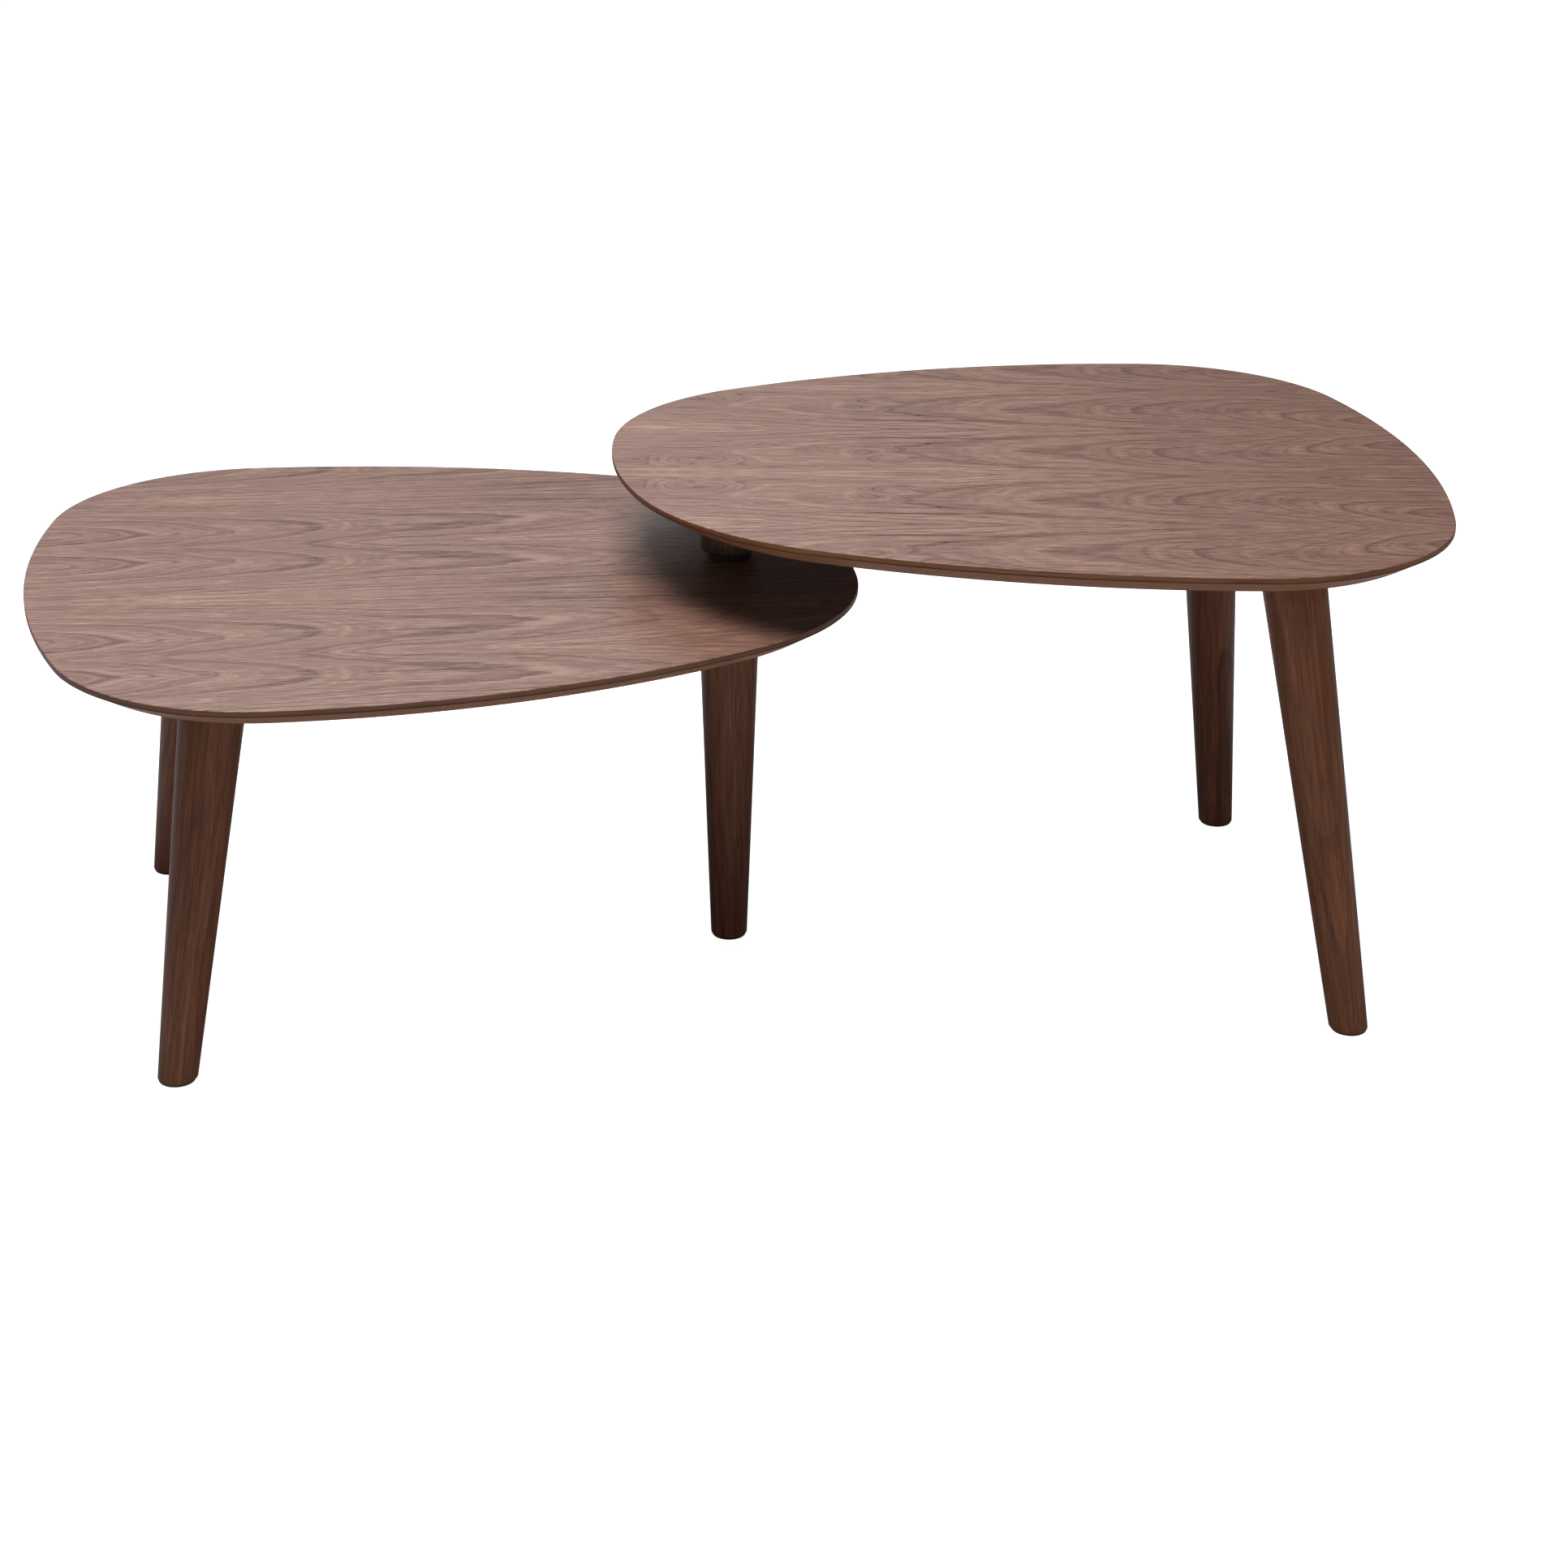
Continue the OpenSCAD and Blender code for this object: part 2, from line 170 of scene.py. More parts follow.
def cap_faces(vertices, loops, up):
    """Triangles that fill the first loop of vertex numbers, leaving the other loops open."""
    order = [k for loop in loops for k in loop]
    flat = [[Vector((vertices[k][0], vertices[k][1], 0)) for k in loop] for loop in loops]
    faces = []
    for a, b, c in tessellate_polygon(flat):
        p, q, r = (Vector(vertices[order[i]][:2]) for i in (a, b, c))
        faces_up = (q - p).cross(r - p) > 0
        faces.append(tuple(order[i] for i in ((a, b, c) if faces_up == up else (a, c, b))))
    return faces


class Board:
    """One top's outline and heights, taken from the CAD."""

    def __init__(self, tier):
        self.tier = tier
        self.body = tier + "_table"
        self.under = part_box(tier + "_backing_veneer")[0].z
        self.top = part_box(tier + "_face_veneer")[1].z
        self.face_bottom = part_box(tier + "_face_veneer")[0].z
        self.band_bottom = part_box(tier + "_edge_band")[0].z
        self.backing_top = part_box(tier + "_backing_veneer")[1].z
        self.loop, self.inward = smooth_loop(outline_of(tier), OUTLINE_POINTS)
        self.bevel_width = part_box(tier + "_backing_veneer")[0].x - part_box(tier + "_core")[0].x

    def ring(self, inset, z):
        """The outline drawn in by inset, at a height."""
        flat = self.loop + (inset + OUTLINE_INSET) * self.inward
        return [(x, y, z) for x, y in flat]

    def eased_inset(self, depth):
        """Inset of the eased edge at a depth below the top face."""
        return EASE - math.sqrt(max(EASE**2 - max(EASE - depth, 0) ** 2, 0))

    def bevel_inset(self, z):
        """Inset of the underside bevel at a height."""
        return self.bevel_width * (self.band_bottom - z) / (self.band_bottom - self.under)

    def plate(self, name, levels, hole):
        """A closed board from levels of (inset, z), top first; hole is a radius on the swivel axis, or 0."""
        vertices = [v for inset, z in levels for v in self.ring(inset, z)]
        faces = [tuple(reversed(f)) for f in tube_faces(len(levels), OUTLINE_POINTS)]
        first = len(vertices)
        top_loops = [list(range(OUTLINE_POINTS))]
        bottom_loops = [list(range(first - OUTLINE_POINTS, first))]
        if hole:
            turns = full_turn(HOLE_SEGMENTS)
            for z in (levels[0][1], levels[-1][1]):
                vertices += [(hole * math.cos(a), hole * math.sin(a), z) for a in turns]
            second = first + HOLE_SEGMENTS
            top_loops.append(list(range(first, second)))
            bottom_loops.append(list(range(second, second + HOLE_SEGMENTS)))
            faces += tube_faces(2, HOLE_SEGMENTS, first)
        faces += cap_faces(vertices, top_loops, True) + cap_faces(vertices, bottom_loops, False)
        return add_mesh(name, vertices, faces)


def make_face(board, hole):
    """The face veneer, whose rim is the upper part of the eased edge."""
    thickness = board.top - board.face_bottom
    last = math.acos(1 - thickness / EASE)
    turns = [last * k / ROUND_STEPS for k in range(ROUND_STEPS + 1)]
    levels = [(FLAT_MARGIN, board.top), (FLAT_START, board.top)]
    levels += [(EASE * (1 - math.sin(a)), board.top - EASE * (1 - math.cos(a))) for a in turns]
    levels += [(FLAT_MARGIN, board.face_bottom)]
    return board.plate(board.tier + "_face", levels, hole)


def make_core(board, hole):
    """The panel under the veneers, with the bevel that runs round below the edge band."""
    low, high = board.backing_top, board.band_bottom
    lowest_inset = board.bevel_inset(low)
    levels = [
        (FLAT_MARGIN, board.face_bottom),
        (BAND_THICKNESS, board.face_bottom),
        (BAND_THICKNESS, high),
        (BAND_EASE, high),
        (LIP_INSET, high - LIP_DROP),
        (board.bevel_inset(high - BEVEL_ROUND), high - BEVEL_ROUND),
        (board.bevel_inset(low + BEVEL_ROUND), low + BEVEL_ROUND),
        (lowest_inset + HEM_ROUND / 2, low + HEM_ROUND),
        (lowest_inset + HEM_FLAT, low),
        (board.bevel_width + FLAT_MARGIN, low),
    ]
    return board.plate(board.tier + "_panel", levels, hole)


def make_backing(board, hole):
    """The veneer on the underside, inside the bevel."""
    low, high = board.under, board.backing_top
    rim = board.bevel_width
    levels = [
        (rim + FLAT_MARGIN, high),
        (rim, high),
        (rim, low + HEM_ROUND),
        (rim + HEM_ROUND, low),
        (rim + FLAT_MARGIN, low),
    ]
    return board.plate(board.tier + "_backing", levels, hole)


def make_band(board, seam_at):
    """The edge strip: one length, butted at a seam, with its run along the edge kept as grain."""
    start = int(np.argmin(np.hypot(*(board.loop - np.array(seam_at)).T)))
    low = board.band_bottom
    top_depth = board.top - board.face_bottom
    middle = BAND_EASE * ROUND_MIDDLE
    section = [
        (board.eased_inset(depth), board.top - depth)
        for depth in (top_depth, (top_depth + EASE) / 2, EASE)
    ]
    section += [(0, low + BAND_EASE), (middle, low + middle), (BAND_EASE, low)]
    section += [(BAND_THICKNESS, low), (BAND_THICKNESS, board.face_bottom)]
    order = [(start + k) % OUTLINE_POINTS for k in range(OUTLINE_POINTS + 1)]
    loop, inward = board.loop[order].copy(), board.inward[order]
    ahead = (loop[1] - loop[0]) / np.linalg.norm(loop[1] - loop[0])
    loop[0] += ahead * SEAM_GAP
    run = np.concatenate([[0], np.cumsum(np.linalg.norm(np.diff(loop, axis=0), axis=1))])
    size = len(section)
    vertices, grain = [], []
    for place, normal, far in zip(loop, inward, run):
        for inset, z in section:
            x, y = place + (inset + OUTLINE_INSET) * normal
            vertices.append((x, y, z))
            grain.append((far, z - low, inset))
    faces = [tuple(reversed(f)) for f in tube_faces(len(loop), size)]
    faces += [tuple(range(size)), tuple(reversed(range(len(vertices) - size, len(vertices))))]
    piece = add_mesh(board.tier + "_band", vertices, faces)
    store_grain(piece, grain)
    return piece


def make_leg(node):
    """A straight tapered leg between the two level cuts of its CAD node; its grain runs up its own axis."""
    points = points_of(node)
    low, high = points[:, 2].min(), points[:, 2].max()
    ends = []
    for z in (low, high):
        rim = at_level(points, z)[:, :2]
        ends.append((Vector((*(rim.min(0) + rim.max(0)) / 2, z)), rim))
    (foot, foot_rim), (head, head_rim) = ends
    axis = (head - foot).normalized()
    lean = Vector((axis.x, axis.y, 0))
    lean = lean.normalized() if lean.length > UPRIGHT_LEAN else Vector((1, 0, 0))
    across = Vector((0, 0, 1)).cross(lean)

    def half_width(rim, direction):
        reach = rim @ np.array(direction[:2])
        return float(reach.max() - reach.min()) / 2

    def ring(share, shrink):
        """The ellipse of a level cut at a share of the height, drawn in by shrink."""
        centre = foot.lerp(head, share)
        a = half_width(foot_rim, lean) * (1 - share) + half_width(head_rim, lean) * share - shrink
        b = half_width(foot_rim, across) * (1 - share) + half_width(head_rim, across) * share - shrink
        turns = full_turn(LEG_SEGMENTS)
        return [centre + a * math.cos(t) * lean + b * math.sin(t) * across for t in turns]

    height = float(high - low)
    turns = [math.pi / 2 * k / ROUND_STEPS for k in range(ROUND_STEPS + 1)]
    levels = [(FOOT_ROUND * (1 - math.cos(t)), FOOT_ROUND * (1 - math.sin(t))) for t in turns]
    levels = [(0, FOOT_ROUND * 2)] + levels
    straight = np.linspace(FOOT_ROUND, height - TOP_ROUND, LEG_RINGS)[1:].tolist()
    levels += [(rise, 0) for rise in straight] + [(height, TOP_ROUND)]
    side = axis.cross(lean).normalized()
    stand = Matrix((side.cross(axis), side, axis)).transposed().to_4x4()
    stand.translation = foot
    inverse = stand.inverted()
    vertices = [p for rise, shrink in levels for p in ring(rise / height, shrink)]
    faces = tube_faces(len(levels), LEG_SEGMENTS)
    faces += [tuple(reversed(range(LEG_SEGMENTS)))]
    faces += [tuple(range(len(vertices) - LEG_SEGMENTS, len(vertices)))]
    piece = add_mesh(node + "_wood", vertices, faces, LEG_SHARP_DEGREES)
    store_grain(piece, [inverse @ p for p in vertices])
    return piece


def make_turned(name, profile):
    """A ring turned about the swivel axis from a closed profile of (radius, z), counter-clockwise."""
    turns = full_turn(TURNED_SEGMENTS)
    vertices = [(r * math.cos(a), r * math.sin(a), z) for r, z in profile for a in turns]
    return add_mesh(name, vertices, tube_faces(len(profile), TURNED_SEGMENTS, closed=True))


def rounded(corner, before, after, radius):
    """Points of a round that replaces a profile's corner, between the directions of its two sides."""
    corner, before, after = (np.array(p, float) for p in (corner, before, after))
    arrive = (before - corner) / np.linalg.norm(before - corner)
    leave = (after - corner) / np.linalg.norm(after - corner)
    start, end = corner + arrive * radius, corner + leave * radius
    shares = [k / CORNER_STEPS for k in range(CORNER_STEPS + 1)]
    return [tuple((1 - s) ** 2 * start + 2 * s * (1 - s) * corner + s**2 * end) for s in shares]


def make_post():
    """The post, with its chamfered lower rim softened, bored as the CAD's is."""
    points = points_of("post")
    radius = np.hypot(points[:, 0], points[:, 1])
    low, high = points[:, 2].min(), points[:, 2].max()
    widest, bore = radius.max(), radius.min()
    shoulder = points[radius > widest - LEVEL_TOLERANCE][:, 2].min()
    lowest_radii = radius[points[:, 2] < low + LEVEL_TOLERANCE]
    foot, recess = lowest_radii.max(), lowest_radii.min()
    recess_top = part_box("post_lower_bush")[0].z + BUSH_FLANGE
    nut_room = radius[points[:, 2] > high - LEVEL_TOLERANCE].min()
    nut_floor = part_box("post_upper_bush")[1].z - BUSH_FLANGE
    outer = rounded((foot, low), (recess, low), (widest, shoulder), POST_FOOT_ROUND)
    outer += rounded((widest, shoulder), (foot, low), (widest, high), SHOULDER_ROUND)
    outer += rounded((widest, high), (widest, shoulder), (nut_room, high), TOP_ROUND)
    inner = [(nut_room, high), (nut_room, nut_floor), (bore, nut_floor)]
    inner += [(bore, recess_top), (recess, recess_top), (recess, low)]
    return make_turned("post_wood", outer + inner)


def make_thrust_ring():
    """The plastic ring under the post, with soft rims."""
    low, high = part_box("thrust_ring")
    points = points_of("thrust_ring")
    bore = np.hypot(points[:, 0], points[:, 1]).min()
    rim = high.x
    outer = rounded((rim, low.z), (bore, low.z), (rim, high.z), TOP_ROUND)
    outer += rounded((rim, high.z), (rim, low.z), (bore, high.z), SHOULDER_ROUND)
    return make_turned("swivel_ring", outer + [(bore, high.z), (bore, low.z)])


# ---------- materials ----------
class Signal:
    """A value inside a material, with arithmetic."""

    def __init__(self, graph, socket):
        self.graph, self.socket = graph, socket

    def __add__(self, other):
        return self.graph.math("ADD", self, other)

    def __sub__(self, other):
        return self.graph.math("SUBTRACT", self, other)

    def __mul__(self, other):
        return self.graph.math("MULTIPLY", self, other)

    def __truediv__(self, other):
        return self.graph.math("DIVIDE", self, other)

    def __rsub__(self, other):
        return self.graph.math("SUBTRACT", other, self)

    def __radd__(self, other):
        return self + other


NOISE_SPREAD = 2.6   # brings Blender's noise, which keeps near its middle, out to about -1 to 1


class Graph:
    """A material's node tree, written as expressions. The colour it starts with is only the viewport's."""

    def __init__(self, name, colour):
        self.material = bpy.data.materials.new(name)
        self.material.use_nodes = True
        self.material.diffuse_color = (*colour, 1)
        self.tree = self.material.node_tree
        self.tree.nodes.clear()

    def node(self, kind, inputs=(), **settings):
        """A new node; inputs are numbers, colours or signals for its sockets, settings its own properties."""
        made = self.tree.nodes.new("ShaderNode" + kind)
        for key, value in settings.items():
            setattr(made, key, value)
        for socket, value in dict(inputs).items():
            self.feed(made.inputs[socket], value)
        return made

    def feed(self, socket, value):
        if isinstance(value, Signal):
            self.tree.links.new(value.socket, socket)
        else:
            socket.default_value = value

    def math(self, operation, *values, clamp=False):
        made = self.node("Math", enumerate(values), operation=operation, use_clamp=clamp)
        return Signal(self, made.outputs[0])

    def place(self, attribute=None):
        """X, Y and Z in millimetres, in the piece's own frame or from a stored attribute."""
        if attribute:
            vector = self.node("Attribute", attribute_name=attribute).outputs["Vector"]
        else:
            vector = self.node("TexCoord").outputs["Object"]
        parts = self.node("SeparateXYZ", {0: Signal(self, vector)}).outputs
        return [Signal(self, part) * 1000 for part in parts]

    def noise(self, x, y, z, detail=2.0, roughness=0.5, distortion=0.0):
        """Smooth noise from about -1 to 1."""
        spot = Signal(self, self.node("CombineXYZ", {0: x, 1: y, 2: z}).outputs[0])
        inputs = {"Vector": spot, "Scale": 1.0, "Detail": detail, "Roughness": roughness}
        made = self.node("TexNoise", {**inputs, "Distortion": distortion})
        return (Signal(self, made.outputs["Fac"]) - 0.5) * NOISE_SPREAD

    def hash(self, value):
        """A fixed random number from 0 to 1 for each whole value."""
        made = self.node("TexWhiteNoise", {"W": value}, noise_dimensions="1D")
        return Signal(self, made.outputs["Value"])

    def curve(self, value, points, top):
        """A smooth curve through given points, whose results lie between 0 and top."""
        low, high = points[0][0], points[-1][0]
        scaled = (value - low) / (high - low)
        made = self.node("FloatCurve", {"Value": scaled})
        line = made.mapping.curves[0]
        while len(line.points) < len(points):
            line.points.new(0.5, 0.5)
        for spot, (x, y) in zip(line.points, points):
            spot.location = ((x - low) / (high - low), y / top)
        made.mapping.update()
        return Signal(self, made.outputs[0]) * top

    def step(self, value, start, end):
        """Rises smoothly from 0 to 1 as value goes from start to end."""
        inputs = {"Value": value, "From Min": start, "From Max": end}
        return Signal(self, self.node("MapRange", inputs, interpolation_type="SMOOTHSTEP").outputs[0])

    def hill(self, x, y, at, width):
        """A round hill, 1 high, at a place."""
        across = self.math("POWER", (x - at[0]) / width[0], 2.0)
        up = self.math("POWER", (y - at[1]) / width[1], 2.0)
        return self.math("POWER", math.e, (across + up) * -1.0)

    def ramp(self, value, stops):
        """A colour picked by value along (place, 8-bit colour) stops."""
        made = self.node("ValToRGB", {"Fac": value})
        line = made.color_ramp
        while len(line.elements) < len(stops):
            line.elements.new(0.5)
        for element, (place, colour) in zip(line.elements, stops):
            element.position = place
            element.color = (*linear(colour), 1)
        return Signal(self, made.outputs["Color"])

    def mix(self, share, first, second):
        """Two colours mixed; the Mix node keeps colours on its inputs 6 and 7 and its output 2."""
        inputs = {"Factor": share, 6: first, 7: second}
        return Signal(self, self.node("Mix", inputs, data_type="RGBA").outputs[2])

    def finish(self, colour, roughness, height=None, lift=0.0, **settings):
        """Ends the material in a Principled shader; lift is how high its bumps stand."""
        shader = self.node("BsdfPrincipled", {"Base Color": colour, "Roughness": roughness, **settings})
        if height is not None:
            bump = self.node("Bump", {"Height": height, "Strength": 1.0, "Distance": lift})
            self.tree.links.new(bump.outputs[0], shader.inputs["Normal"])
        output = self.node("OutputMaterial")
        self.tree.links.new(shader.outputs[0], output.inputs[0])
        return self.material


def linear(colour):
    """Linear light from an 8-bit display colour."""
    parts = [c / 255 for c in colour]
    return tuple(c / 12.92 if c <= 0.04045 else ((c + 0.055) / 1.055) ** 2.4 for c in parts)


# Book-matched figure of each top. u runs along the grain and w across a leaf from its matching line, in mm.
#   turn, match     the grain's angle to X in degrees, and a matching line's distance off the swivel axis
#   leaf, slip      a leaf's width, and how far it may be shifted along the grain
#   centre, depth   at each u, the w of the figure's heart, and how deep under the face the pith lies
#   rings           growth rings counted from the pith, at each distance from it
#   hills           (u, w), (widths), height: where the rings swell round a knot or a burl
#   spots, smudges, pale    (u, w), (widths), strength: knots, dark stains and pale streaks
FIGURES = {
    "upper": {
        "turn": 0, "match": 100, "leaf": 137, "slip": 6,
        "centre": [(-150, 90), (0, 88), (100, 72), (300, 68), (440, 69), (540, 42), (650, 38)],
        "depth": [
            (-150, 96), (0, 92), (80, 90), (165, 87), (215, 81), (245, 75), (300, 71),
            (358, 62), (400, 56), (442, 48), (490, 38), (540, 24), (650, 6),
        ],
        "rings": [
            (0, 0), (24, 1), (38, 2), (53, 3), (62, 4), (75, 5),
            (90, 6), (98, 7), (105, 8), (112, 9), (140, 13),
        ],
        "hills": [
            ((-29, 96), (34, 18), 17), ((-44, 104), (12, 7), 6),
            ((112, 74), (20, 14), 9), ((128, 92), (16, 16), -8),
        ],
        "spots": [((166, 45), (2.2, 1.6), 1.0), ((415, 69), (6, 3.5), 0.7), ((-35, 110), (2.5, 2), 0.8)],
        "smudges": [((440, 66), (34, 9), 0.5), ((-26, 92), (16, 9), 0.4), ((112, 76), (9, 14), 0.5)],
        "pale": [((90, 134), (150, 11), 0.30), ((-60, 6), (120, 10), 0.22), ((140, 82), (10, 12), 0.25)],
    },
    "lower": {
        "turn": 7, "match": 65, "leaf": 137.5, "slip": 5,
        "centre": [(-650, 42), (-500, 43), (-400, 46), (-300, 52), (-150, 58), (-50, 60), (150, 62)],
        "depth": [
            (-650, 1), (-586, 4), (-545, 15), (-503, 27), (-470, 37), (-436, 45), (-380, 53), (-340, 60),
            (-303, 66), (-220, 71), (-153, 75), (-50, 84), (50, 92), (150, 96),
        ],
        "rings": [
            (0, 0), (12, 1), (27, 2), (46, 3), (59, 4), (74, 5),
            (82, 6), (89, 7), (96, 8), (103, 9), (140, 14),
        ],
        "hills": [((-470, 40), (40, 7), -6)],
        "spots": [((-471, 40), (2.2, 1.6), 1.0)],
        "smudges": [
            ((-135, 110), (110, 1.9), 1.5), ((-90, 104), (60, 5), 0.5), ((-60, 84), (90, 1.6), 0.9),
        ],
        "pale": [((-480, 134), (150, 12), 0.16), ((-260, 62), (60, 6), 0.14), ((-420, 74), (24, 7), 0.14)],
    },
}
FIGURE_REACH = 140   # the most that a figure's distances come to
FIGURE_RINGS = 14    # and the most that its ring counts come to

# Tones of each wood, from the darkest at 0 to the palest at 1, as 8-bit display colours
VENEER_TONES = [
    (0, (76, 53, 45)), (0.3, (106, 76, 65)), (0.55, (128, 94, 80)),
    (0.8, (147, 110, 93)), (1, (170, 130, 107)),
]
ROSY = (126, 88, 82)
BAND_TONES = {
    "upper": [(0, (58, 34, 21)), (0.4, (106, 67, 41)), (0.65, (132, 86, 55)), (1, (160, 112, 77))],
    "lower": [(0, (48, 31, 22)), (0.4, (88, 59, 43)), (0.65, (110, 76, 55)), (1, (140, 102, 78))],
}
STAIN_TONES = [(0, (86, 53, 38)), (0.5, (130, 87, 65)), (1, (162, 114, 88))]
BACKING_TONES = [(0, (62, 42, 32)), (0.5, (94, 66, 52)), (1, (126, 92, 72))]
LEG_TONES = [(0, (46, 26, 17)), (0.35, (82, 49, 34)), (0.6, (108, 66, 46)), (1, (146, 96, 66))]
# The post's walnut tones, greyer and paler than the legs' as a painted sheen on the shaded post
POST_TONES_PAINTED_SHEEN = [(0, (50, 37, 29)), (0.35, (84, 65, 53)), (0.6, (112, 89, 74)), (1, (150, 122, 103))]


def veneer_figure(g, tier):
    """The sliced walnut of a top, each leaf the mirror of the one beside it.

    Gives the place in the leaf (u along the grain, w across it), the distance from the pith, and two
    signals of the growth rings: their late wood, and the fine dark line that ends each one.
    """
    figure = FIGURES[tier]
    x, y, _ = g.place()
    turn = math.radians(figure["turn"])
    along = x * math.cos(turn) + y * math.sin(turn)
    across = y * math.cos(turn) - x * math.sin(turn) - figure["match"]

    # Neighbouring leaves aren't cut quite alike
    leaf = g.math("FLOOR", across / figure["leaf"])
    u = along + (g.hash(leaf) - 0.5) * 2 * figure["slip"]
    w = g.math("PINGPONG", across, figure["leaf"]) + (g.hash(leaf + 31.0) - 0.5) * 3.0

    # Distance from the pith, which the growth rings follow, with broad, middling and fine waves
    centre = g.curve(u, figure["centre"], FIGURE_REACH)
    depth = g.curve(u, figure["depth"], FIGURE_REACH)
    aside = g.math("ABSOLUTE", w - centre)
    reach = g.math("SQRT", g.math("POWER", aside, 2.0) + g.math("POWER", depth, 2.0))
    for at, width, height in figure["hills"]:
        reach = reach + g.hill(u, w, at, width) * height
    reach = reach + g.noise(u / 80, w / 30, 3.0) * 2.6
    reach = reach + g.noise(u / 24, w / 9, 8.0, detail=1.0) * 0.5
    reach = reach + g.noise(u / 45, w / 2.4, 35.0, detail=1.0) * 0.6

    # Each ring has its own strength, which also changes along the grain
    count = g.curve(reach, figure["rings"], FIGURE_RINGS)
    ring = g.math("FLOOR", count)
    phase = g.math("FRACT", count)
    weight = 0.35 + g.hash(ring + 5.0) * 0.65
    weight = weight * (g.noise(u / 120, ring * 3.7, 1.0, detail=1.0) * 0.3 + 0.8)
    late = g.math("POWER", phase, 2.0) * g.step(phase, 1.0, 0.965) * weight
    line = g.step(phase, 0.80, 0.95) * g.step(phase, 1.0, 0.975) * weight
    return u, w, reach, late, line


def face_veneer(tier):
    """Book-matched walnut under a thin satin lacquer."""
    g = Graph(tier + "_face_walnut", linear((145, 108, 90)))
    figure = FIGURES[tier]
    u, w, reach, late, line = veneer_figure(g, tier)
    clouds = g.noise(u / 240, w / 22, 11.0) * 0.14
    between_rings = g.noise(u / 420, reach / 2.2, 13.0, detail=3.0, roughness=0.6) * 0.48
    streaks = g.noise(u / 130, w / 4.2, 17.0, detail=3.0, roughness=0.65) * 0.30
    flecks = g.noise(u / 26, w / 2.4, 23.0, detail=2.0, roughness=0.65) * 0.46
    fibres = g.noise(u / 9, w / 0.8, 26.0, detail=2.0) * 0.28
    pores = g.step(g.noise(u / 7, w / 0.45, 29.0, detail=1.0), 0.30, 0.70)
    tone = 0.645 - late * 0.30 - line * 0.26 - pores * 0.22
    tone = tone + clouds + between_rings + streaks + flecks + fibres

    # Long dark threads that wander along the grain and fade out in places
    drift = g.noise(u / 120, w / 40, 61.0, detail=1.0) * 4.0
    threads = g.step(g.noise(u / 450, (w + drift) / 7.0, 67.0, detail=1.0), 0.40, 0.62)
    tone = tone - threads * g.step(g.noise(u / 300, w / 50, 71.0), -0.2, 0.3) * 0.42

    for at, width, strength in figure["spots"]:
        tone = tone - g.hill(u, w, at, width) * strength * 0.6
    for at, width, strength in figure["smudges"]:
        tone = tone - g.hill(u, w, at, width) * strength * 0.30
    for at, width, strength in figure["pale"]:
        tone = tone + g.hill(u, w, at, width) * strength * (0.7 + g.noise(u / 90, w / 2.2, 31.0) * 1.1)
    blush = g.step(g.noise(u / 180, w / 40, 41.0), -0.4, 0.7) * 0.35
    colour = g.mix(blush, g.ramp(tone, VENEER_TONES), (*linear(ROSY), 1))
    roughness = 0.46 + pores * 0.15 + g.noise(u / 30, w / 3, 47.0) * 0.03
    height = g.noise(u / 9, w / 0.5, 53.0, detail=2.0) * 0.3 - pores * 0.7
    sheen = g.math("ADD", 0.5, (tone - 0.62) * 0.5, clamp=True)
    return g.finish(colour, roughness, height, 0.012 * MM, **{"Specular IOR Level": sheen})


def edge_band_wood(tier):
    """Long-grain strip with dark streaks, darker along its foot."""
    g = Graph(tier + "_edge_walnut", linear((96, 68, 50)))
    run, z, _ = g.place("grain")
    clouds = g.noise(run / 300, z / 9, 5.0) * 0.20
    streaks = g.noise(run / 70, z / 1.6, 2.0, detail=3.0) * 0.26
    fibres = g.noise(run / 16, z / 0.35, 9.0, detail=2.0) * 0.12
    dark = g.step(g.noise(run / 55, z / 1.1, 14.0, detail=1.0), 0.25, 0.75)
    foot = g.step(z, 1.5, 0.4)
    tone = 0.5 + clouds + streaks + fibres - dark * 0.26 - foot * 0.35
    height = g.noise(run / 12, z / 0.4, 21.0) * 0.4 - dark * 0.5
    settings = {"Specular IOR Level": 0.25}
    return g.finish(g.ramp(tone, BAND_TONES[tier]), 0.42 + dark * 0.12, height, 0.015 * MM, **settings)


def panel_stain():
    """Stained panel edge: fine speckle, faint streaks."""
    g = Graph("stained_panel", linear((104, 74, 60)))
    x, y, z = g.place()
    streaks = g.noise(x / 40, y / 40, z / 3, detail=3.0) * 0.14
    speckle = g.noise(x, y, z, detail=2.0) * 0.06
    colour = g.ramp(0.5 + streaks + speckle, STAIN_TONES)
    roughness = 0.46 + g.noise(x / 8, y / 8, z / 8) * 0.04
    height = g.noise(x / 0.8, y / 0.8, z / 0.8)
    return g.finish(colour, roughness, height, 0.01 * MM, **{"Specular IOR Level": 0.3})


def backing_walnut(tier):
    """Plain straight-grained veneer, its grain along the face's."""
    g = Graph(tier + "_backing_walnut", linear((96, 68, 54)))
    x, y, _ = g.place()
    turn = math.radians(FIGURES[tier]["turn"])
    u = x * math.cos(turn) + y * math.sin(turn)
    w = y * math.cos(turn) - x * math.sin(turn)
    bands = g.noise(u / 400, w / 9, 2.0, detail=3.0, distortion=0.2)
    fibre = g.noise(u / 14, w / 0.6, 7.0, detail=3.0)
    colour = g.ramp(0.5 + bands * 0.2 + fibre * 0.12, BACKING_TONES)
    return g.finish(colour, 0.55 + fibre * 0.05, fibre, 0.015 * MM)


RING_WIDTH = 6.5     # of the growth rings in the solid wood
RING_SLANT = 0.035   # how fast they run out along a leg


